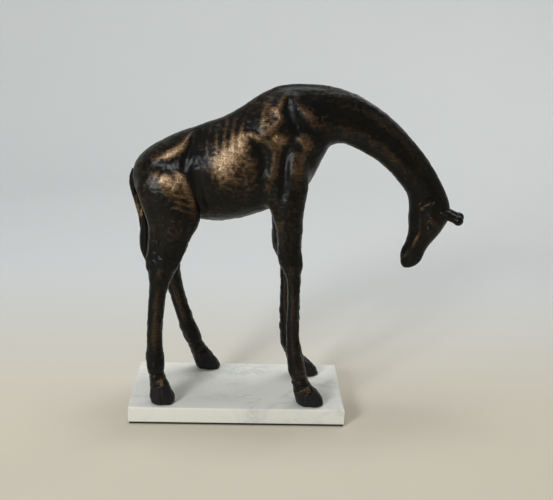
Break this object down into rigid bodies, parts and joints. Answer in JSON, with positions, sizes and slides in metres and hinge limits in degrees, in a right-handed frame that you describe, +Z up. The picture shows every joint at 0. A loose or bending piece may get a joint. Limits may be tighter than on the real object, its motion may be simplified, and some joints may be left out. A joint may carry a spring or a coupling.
{
  "type": "giraffe statue",
  "caption": "Standing giraffe figure with a lowered head, cast in metal with a dark antique bronze patina, bolted to a rectangular white marble slab with a protective pad.",
  "frame": {"origin": "centre of the underside of the pad under the slab", "axes": "+Z up; +X the way the giraffe faces, along the slab's long side; +Y to the giraffe's left"},
  "size_m": [0.356, 0.12, 0.3562],
  "materials": {
    "bronze_casting": "cast, dark antique bronze patina with rubbed tan highlights",
    "white_marble": "honed white marble with soft grey veins",
    "black_pad": "matt black",
    "steel_fastener": "zinc plated"
  },
  "bodies": {
    "root": {"marble_base": "white_marble", "base_pad": "black_pad", "torso": "bronze_casting", "belly_plug": "bronze_casting", "neck": "bronze_casting", "head": "bronze_casting", "tail": "bronze_casting", "ear_left": "bronze_casting", "ossicone_left": "bronze_casting", "ear_right": "bronze_casting", "ossicone_right": "bronze_casting", "leg_front_left": "bronze_casting", "pin_front_left": "steel_fastener", "stud_front_left": "steel_fastener", "washer_front_left": "steel_fastener", "nut_front_left": "steel_fastener", "leg_front_right": "bronze_casting", "pin_front_right": "steel_fastener", "stud_front_right": "steel_fastener", "washer_front_right": "steel_fastener", "nut_front_right": "steel_fastener", "leg_hind_left": "bronze_casting", "pin_hind_left": "steel_fastener", "stud_hind_left": "steel_fastener", "washer_hind_left": "steel_fastener", "nut_hind_left": "steel_fastener", "leg_hind_right": "bronze_casting", "pin_hind_right": "steel_fastener", "stud_hind_right": "steel_fastener", "washer_hind_right": "steel_fastener", "nut_hind_right": "steel_fastener", "pin_neck": "steel_fastener", "pin_head": "steel_fastener"}
  },
  "joints": []
}
